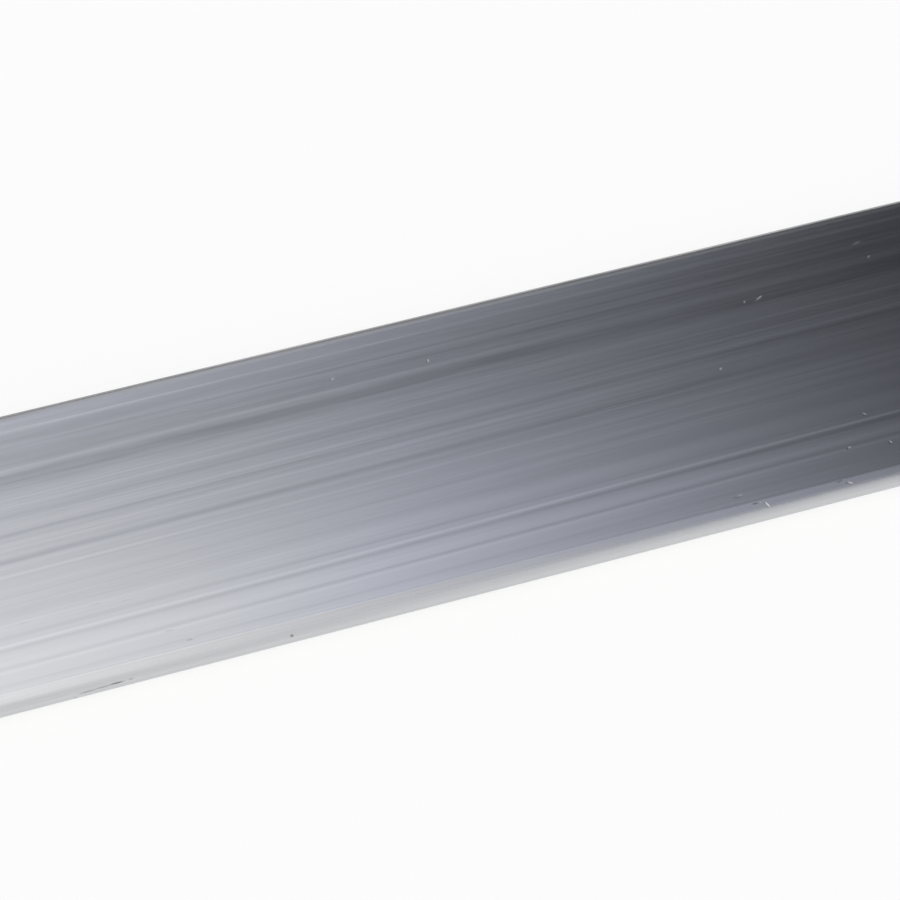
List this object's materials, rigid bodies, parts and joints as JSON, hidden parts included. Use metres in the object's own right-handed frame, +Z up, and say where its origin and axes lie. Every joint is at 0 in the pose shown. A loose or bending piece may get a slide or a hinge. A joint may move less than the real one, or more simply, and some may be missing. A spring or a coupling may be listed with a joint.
{
  "type": "aluminium extrusion profile",
  "caption": "Long flat extruded aluminium bar with softly rounded long corners and bevelled sawn ends, in mill finish with die lines along its length.",
  "frame": {"origin": "middle of the underside, on the surface that the bar lies on", "axes": "+X along the length, +Y across the width, +Z up out of the upper wide face"},
  "size_m": [1, 0.05, 0.005],
  "materials": {
    "mill_aluminium": "mill finish with lengthwise die lines"
  },
  "bodies": {
    "root": {"flat_bar": "mill_aluminium"}
  },
  "joints": []
}
